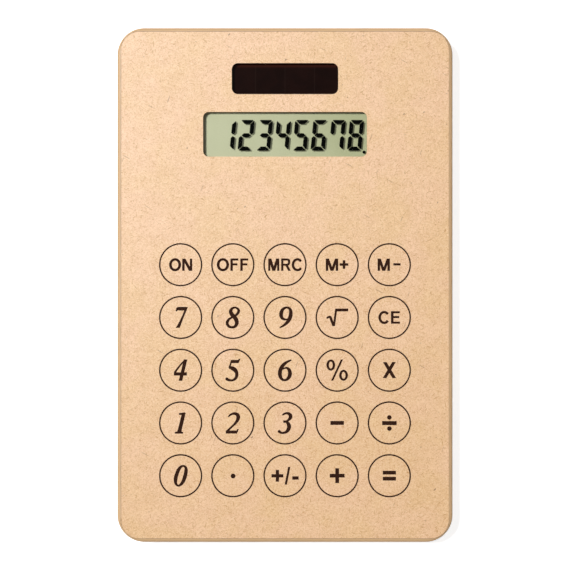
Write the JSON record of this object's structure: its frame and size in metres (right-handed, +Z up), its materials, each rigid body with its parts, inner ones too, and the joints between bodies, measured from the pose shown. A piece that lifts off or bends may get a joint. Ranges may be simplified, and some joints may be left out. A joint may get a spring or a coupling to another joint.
{
  "type": "desk calculator",
  "caption": "Slim desk calculator: kraft board face in a plastic case, round flush push keys, recessed display, solar window and a sliding battery door.",
  "frame": {"origin": "on the table under the middle of the case, in the plane of the feet's undersides", "axes": "+X to the right across the keys, +Y along the case towards the display, +Z up out of the face"},
  "size_m": [0.1158, 0.1776, 0.0096],
  "materials": {
    "case_plastic": "fine satin, sand colour",
    "kraft_board": "matt brown kraft with small dark fibres",
    "key_cap": "sand plastic faced with the same kraft board",
    "adhesive": "matt",
    "silicone": "matt, translucent",
    "circuit_board": "satin green mask",
    "epoxy": "gloss black",
    "ceramic_chip": "matt",
    "polariser_film": "clear, faintly green",
    "display_glass": "clear",
    "reflector_film": "satin grey green",
    "foam": "matt",
    "solar_glass": "gloss, near black",
    "red_wire": "satin",
    "black_wire": "satin",
    "steel": "bright",
    "foot_rubber": "matt"
  },
  "bodies": {
    "case": {"back_case": "case_plastic", "front_case": "case_plastic", "card_adhesive": "adhesive", "face_card": "kraft_board", "keypad_membrane": "silicone", "pcb": "circuit_board", "chip_blob": "epoxy", "capacitors": "ceramic_chip", "resistors": "ceramic_chip", "lcd_polariser": "polariser_film", "lcd_front_glass": "display_glass", "lcd_rear_glass": "display_glass", "lcd_reflector": "reflector_film", "lcd_foam_pad": "foam", "zebra_strip": "silicone", "solar_cell": "solar_glass", "solar_wire_plus": "red_wire", "solar_wire_minus": "black_wire", "battery_cell": "steel", "battery_contact_plus": "steel", "battery_contact_minus": "steel", "foot_front_left": "foot_rubber", "foot_front_right": "foot_rubber", "foot_rear_left": "foot_rubber", "foot_rear_right": "foot_rubber", "case_screws": "steel", "board_screws": "steel"},
    "key_on": {"key_on": "key_cap"},
    "key_off": {"key_off": "key_cap"},
    "key_mrc": {"key_mrc": "key_cap"},
    "key_m_plus": {"key_m_plus": "key_cap"},
    "key_m_minus": {"key_m_minus": "key_cap"},
    "key_7": {"key_7": "key_cap"},
    "key_8": {"key_8": "key_cap"},
    "key_9": {"key_9": "key_cap"},
    "key_root": {"key_root": "key_cap"},
    "key_ce": {"key_ce": "key_cap"},
    "key_4": {"key_4": "key_cap"},
    "key_5": {"key_5": "key_cap"},
    "key_6": {"key_6": "key_cap"},
    "key_percent": {"key_percent": "key_cap"},
    "key_multiply": {"key_multiply": "key_cap"},
    "key_1": {"key_1": "key_cap"},
    "key_2": {"key_2": "key_cap"},
    "key_3": {"key_3": "key_cap"},
    "key_minus": {"key_minus": "key_cap"},
    "key_divide": {"key_divide": "key_cap"},
    "key_0": {"key_0": "key_cap"},
    "key_point": {"key_point": "key_cap"},
    "key_sign": {"key_sign": "key_cap"},
    "key_plus": {"key_plus": "key_cap"},
    "key_equals": {"key_equals": "key_cap"},
    "battery_door": {"battery_door": "case_plastic"}
  },
  "joints": [
    {"name": "key_on_press", "type": "slide", "parent": "case", "child": "key_on", "axis": [0, 0, -1], "range_m": [0, 0.0008], "stiffness_N_per_m": 250, "springref_m": -0.001, "deforming": ["keypad_membrane"]},
    {"name": "key_off_press", "type": "slide", "parent": "case", "child": "key_off", "axis": [0, 0, -1], "range_m": [0, 0.0008], "stiffness_N_per_m": 250, "springref_m": -0.001, "deforming": ["keypad_membrane"]},
    {"name": "key_mrc_press", "type": "slide", "parent": "case", "child": "key_mrc", "axis": [0, 0, -1], "range_m": [0, 0.0008], "stiffness_N_per_m": 250, "springref_m": -0.001, "deforming": ["keypad_membrane"]},
    {"name": "key_m_plus_press", "type": "slide", "parent": "case", "child": "key_m_plus", "axis": [0, 0, -1], "range_m": [0, 0.0008], "stiffness_N_per_m": 250, "springref_m": -0.001, "deforming": ["keypad_membrane"]},
    {"name": "key_m_minus_press", "type": "slide", "parent": "case", "child": "key_m_minus", "axis": [0, 0, -1], "range_m": [0, 0.0008], "stiffness_N_per_m": 250, "springref_m": -0.001, "deforming": ["keypad_membrane"]},
    {"name": "key_7_press", "type": "slide", "parent": "case", "child": "key_7", "axis": [0, 0, -1], "range_m": [0, 0.0008], "stiffness_N_per_m": 250, "springref_m": -0.001, "deforming": ["keypad_membrane"]},
    {"name": "key_8_press", "type": "slide", "parent": "case", "child": "key_8", "axis": [0, 0, -1], "range_m": [0, 0.0008], "stiffness_N_per_m": 250, "springref_m": -0.001, "deforming": ["keypad_membrane"]},
    {"name": "key_9_press", "type": "slide", "parent": "case", "child": "key_9", "axis": [0, 0, -1], "range_m": [0, 0.0008], "stiffness_N_per_m": 250, "springref_m": -0.001, "deforming": ["keypad_membrane"]},
    {"name": "key_root_press", "type": "slide", "parent": "case", "child": "key_root", "axis": [0, 0, -1], "range_m": [0, 0.0008], "stiffness_N_per_m": 250, "springref_m": -0.001, "deforming": ["keypad_membrane"]},
    {"name": "key_ce_press", "type": "slide", "parent": "case", "child": "key_ce", "axis": [0, 0, -1], "range_m": [0, 0.0008], "stiffness_N_per_m": 250, "springref_m": -0.001, "deforming": ["keypad_membrane"]},
    {"name": "key_4_press", "type": "slide", "parent": "case", "child": "key_4", "axis": [0, 0, -1], "range_m": [0, 0.0008], "stiffness_N_per_m": 250, "springref_m": -0.001, "deforming": ["keypad_membrane"]},
    {"name": "key_5_press", "type": "slide", "parent": "case", "child": "key_5", "axis": [0, 0, -1], "range_m": [0, 0.0008], "stiffness_N_per_m": 250, "springref_m": -0.001, "deforming": ["keypad_membrane"]},
    {"name": "key_6_press", "type": "slide", "parent": "case", "child": "key_6", "axis": [0, 0, -1], "range_m": [0, 0.0008], "stiffness_N_per_m": 250, "springref_m": -0.001, "deforming": ["keypad_membrane"]},
    {"name": "key_percent_press", "type": "slide", "parent": "case", "child": "key_percent", "axis": [0, 0, -1], "range_m": [0, 0.0008], "stiffness_N_per_m": 250, "springref_m": -0.001, "deforming": ["keypad_membrane"]},
    {"name": "key_multiply_press", "type": "slide", "parent": "case", "child": "key_multiply", "axis": [0, 0, -1], "range_m": [0, 0.0008], "stiffness_N_per_m": 250, "springref_m": -0.001, "deforming": ["keypad_membrane"]},
    {"name": "key_1_press", "type": "slide", "parent": "case", "child": "key_1", "axis": [0, 0, -1], "range_m": [0, 0.0008], "stiffness_N_per_m": 250, "springref_m": -0.001, "deforming": ["keypad_membrane"]},
    {"name": "key_2_press", "type": "slide", "parent": "case", "child": "key_2", "axis": [0, 0, -1], "range_m": [0, 0.0008], "stiffness_N_per_m": 250, "springref_m": -0.001, "deforming": ["keypad_membrane"]},
    {"name": "key_3_press", "type": "slide", "parent": "case", "child": "key_3", "axis": [0, 0, -1], "range_m": [0, 0.0008], "stiffness_N_per_m": 250, "springref_m": -0.001, "deforming": ["keypad_membrane"]},
    {"name": "key_minus_press", "type": "slide", "parent": "case", "child": "key_minus", "axis": [0, 0, -1], "range_m": [0, 0.0008], "stiffness_N_per_m": 250, "springref_m": -0.001, "deforming": ["keypad_membrane"]},
    {"name": "key_divide_press", "type": "slide", "parent": "case", "child": "key_divide", "axis": [0, 0, -1], "range_m": [0, 0.0008], "stiffness_N_per_m": 250, "springref_m": -0.001, "deforming": ["keypad_membrane"]},
    {"name": "key_0_press", "type": "slide", "parent": "case", "child": "key_0", "axis": [0, 0, -1], "range_m": [0, 0.0008], "stiffness_N_per_m": 250, "springref_m": -0.001, "deforming": ["keypad_membrane"]},
    {"name": "key_point_press", "type": "slide", "parent": "case", "child": "key_point", "axis": [0, 0, -1], "range_m": [0, 0.0008], "stiffness_N_per_m": 250, "springref_m": -0.001, "deforming": ["keypad_membrane"]},
    {"name": "key_sign_press", "type": "slide", "parent": "case", "child": "key_sign", "axis": [0, 0, -1], "range_m": [0, 0.0008], "stiffness_N_per_m": 250, "springref_m": -0.001, "deforming": ["keypad_membrane"]},
    {"name": "key_plus_press", "type": "slide", "parent": "case", "child": "key_plus", "axis": [0, 0, -1], "range_m": [0, 0.0008], "stiffness_N_per_m": 250, "springref_m": -0.001, "deforming": ["keypad_membrane"]},
    {"name": "key_equals_press", "type": "slide", "parent": "case", "child": "key_equals", "axis": [0, 0, -1], "range_m": [0, 0.0008], "stiffness_N_per_m": 250, "springref_m": -0.001, "deforming": ["keypad_membrane"]},
    {"name": "battery_door_slide", "type": "slide", "parent": "case", "child": "battery_door", "axis": [0, 1, 0], "range_m": [0, 0.018]}
  ]
}
